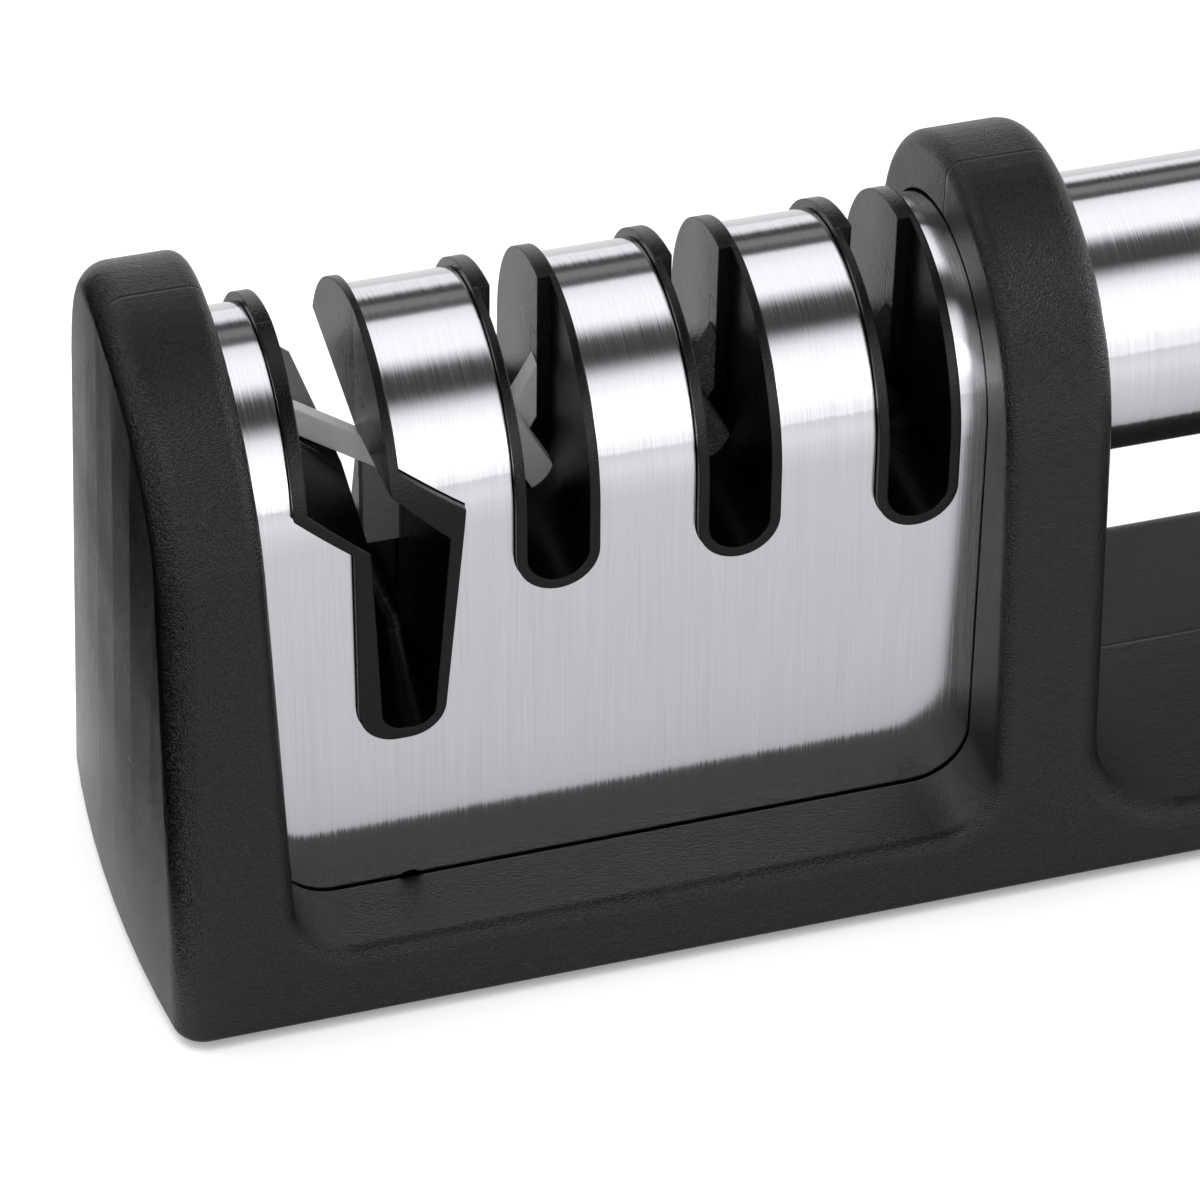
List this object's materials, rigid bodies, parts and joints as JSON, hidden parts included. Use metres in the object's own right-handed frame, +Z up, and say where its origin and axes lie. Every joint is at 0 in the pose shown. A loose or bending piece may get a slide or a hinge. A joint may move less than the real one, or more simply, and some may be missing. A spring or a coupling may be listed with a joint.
{
  "type": "pull through knife sharpener",
  "caption": "Pull through sharpener with a brushed steel cover over V slots for knives, a stepped slot for scissors, and a round steel handle.",
  "frame": {"origin": "on the surface it stands on, under the middle of the frame", "axes": "+X along the length towards the handle, -Y is the front, +Z up"},
  "size_m": [0.1998, 0.0466, 0.0728],
  "materials": {
    "frame_plastic": "fine leather grain, satin black",
    "plate_plastic": "plain satin black",
    "foot_rubber": "matt",
    "cover_steel": "brushed around the bend",
    "insert_plastic": "smooth moulded black",
    "white_ceramic": "fine white ceramic",
    "grey_ceramic": "fine grey ceramic",
    "diamond_grit": "coated with sparkling grit",
    "carbide": "ground dark metal",
    "handle_steel": "brushed around the tube",
    "core_plastic": "plain black",
    "screw_steel": "zinc plated"
  },
  "bodies": {
    "root": {"front_frame": "frame_plastic", "rear_frame": "frame_plastic", "bottom_plate": "plate_plastic", "rubber_feet": "foot_rubber", "steel_cover": "cover_steel", "slot_insert_front": "insert_plastic", "slot_insert_rear": "insert_plastic", "scissor_holder": "insert_plastic", "ceramic_holder": "insert_plastic", "diamond_holder": "insert_plastic", "carbide_holder": "insert_plastic", "scissor_bar": "white_ceramic", "scissor_plate": "grey_ceramic", "ceramic_bar_left": "white_ceramic", "ceramic_bar_right": "white_ceramic", "diamond_bar_left": "diamond_grit", "diamond_bar_right": "diamond_grit", "carbide_blade_left": "carbide", "carbide_blade_right": "carbide", "handle_sleeve": "handle_steel", "handle_core": "core_plastic", "frame_screws": "screw_steel", "insert_screws": "screw_steel", "base_screws": "screw_steel"}
  },
  "joints": []
}
